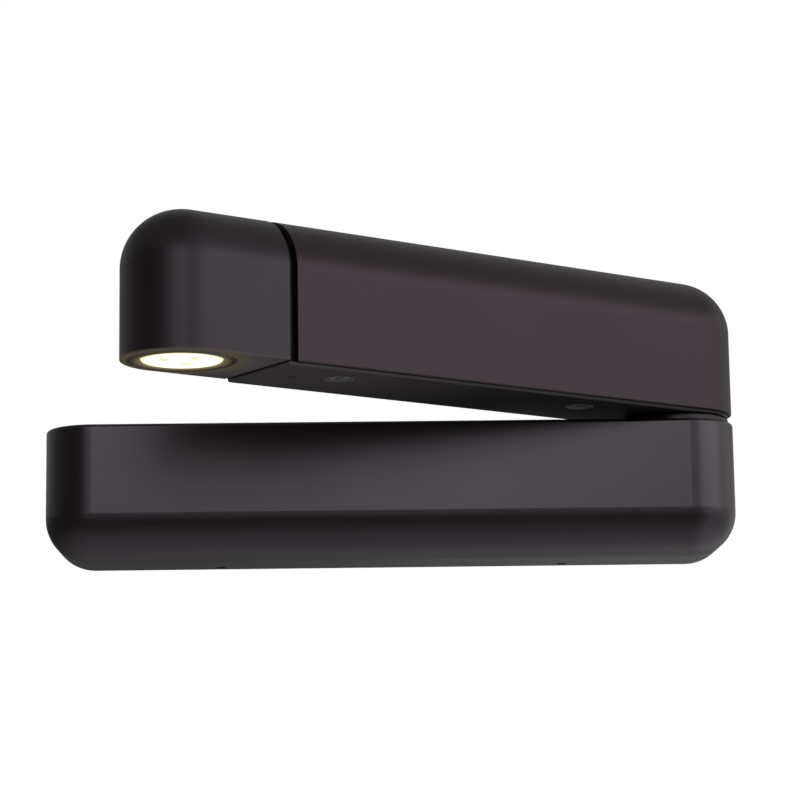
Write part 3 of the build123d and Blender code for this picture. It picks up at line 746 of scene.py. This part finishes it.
def room_finish():
    """Bright soft panels in front and to the right; dark on the left, overhead and low in front."""
    constants = {"Base Color": (0, 0, 0, 1), "Specular IOR Level": 0.0, "Emission Strength": 1.0}
    finish = Finish("studio_room", constants)
    side, depth, height = (finish.node("ShaderNodeSeparateXYZ", {}, {"Vector": finish.place}, axis)
                           for axis in "XYZ")
    degrees = 180 / math.pi
    way = finish.node("ShaderNodeMath", {"operation": "ARCTAN2"}, {0: side, 1: 0.0 - depth}) * degrees
    sine = height * (1 / room_radius)
    rise = finish.node("ShaderNodeMath", {"operation": "ARCSINE"}, {0: sine}) * degrees

    # Directions are in degrees: 0 is the front, 90 the right, -90 the left, and 180 behind
    dark_left = 0.34 - 0.30 * way.rise(-135, -62)
    front_panel = 2.20 * way.rise(-32, 6) - 1.80 * way.rise(6, 16)
    right_panel = 1.31 * way.rise(22, 36) - 0.95 * way.rise(72, 90) - 0.46 * way.rise(108, 132)
    round_level = dark_left + front_panel + right_panel
    is_behind = way.rise(90, 150) + 1.0 - way.rise(-170, -130)
    overhead = 0.13 + 0.12 * way.band(28, 120, 13) + 0.28 * is_behind * (1.0 - rise.rise(50, 68))
    below_front = 0.34 - 0.28 * rise.rise(-70, -14)
    is_right = way.band(40, 150, 15) * rise.rise(-80, -52)
    below = below_front + 0.34 * is_right + (0.05 + 0.12 * side.rise(-0.3, 0.5)) * is_behind

    is_above = rise.rise(24, 34)
    is_below = 1.0 - rise.rise(2, 9)
    level = round_level * (1.0 - is_above - is_below) + overhead * is_above + below * is_below
    finish.surface({"Emission Color": level})
    return finish


room_shell = room_mesh("studio_room", room_radius, room_columns, room_rows)
room = bpy.data.objects.new("studio_room", room_shell)
bpy.context.scene.collection.objects.link(room)
room.location = studio_middle
room.data.materials.append(room_finish().material)
room.visible_camera = False
room.visible_diffuse = False
room.visible_shadow = False
room.visible_transmission = False


def soft_lamp(name, place, size, power):
    """Large square lamp that faces the middle of the studio."""
    light = bpy.data.lights.new(name, "AREA")
    light.shape = "SQUARE"
    light.size = size
    light.energy = power
    lamp = bpy.data.objects.new(name, light)
    bpy.context.scene.collection.objects.link(lamp)
    lamp.location = place
    lamp.rotation_euler = (studio_middle - Vector(place)).to_track_quat("-Z", "Y").to_euler()
    lamp.visible_camera = False
    lamp.visible_glossy = False
    return lamp


soft_lamp("key_lamp", place=(1.6, -2.0, 3.0), size=1.6, power=78.0)
soft_lamp("fill_lamp", place=(-2.0, -1.6, 2.4), size=1.6, power=26.0)


class Sky(Finish):
    """The world behind everything, written with the same nodes as a finish."""

    def __init__(self, name):
        self.world = bpy.data.worlds.new(name)
        self.world.use_nodes = True
        self.tree = self.world.node_tree
        self.shader = self.tree.nodes["Background"]


sky = Sky("studio_world")
sky_light = 0.45
sky.surface({"Color": (1, 1, 1, 1), "Strength": sky_light + (1 - sky_light) * sky.seen_by_eye()})
bpy.context.scene.world = sky.world


# Camera
# A long lens from a little below the lamp. Its place and its turn come from a fit to the
# photograph's outlines.

camera_place = Vector((-0.020678, -1.095203, -0.151808))
camera_yaw = math.radians(1.327)
camera_pitch = math.radians(10.112)
camera_roll = math.radians(0.816)
camera_lens = 119.406
sensor = 36.0

camera_data = bpy.data.cameras.new("camera")
camera_data.lens = camera_lens
camera_data.sensor_width = sensor
camera = bpy.data.objects.new("camera", camera_data)
bpy.context.scene.collection.objects.link(camera)
turn = Matrix.Rotation(-camera_yaw, 4, "Z") @ Matrix.Rotation(math.pi / 2 + camera_pitch, 4, "X")
camera.matrix_world = Matrix.Translation(camera_place) @ turn @ Matrix.Rotation(-camera_roll, 4, "Z")
bpy.context.scene.camera = camera
bpy.context.scene.view_settings.view_transform = "Standard"
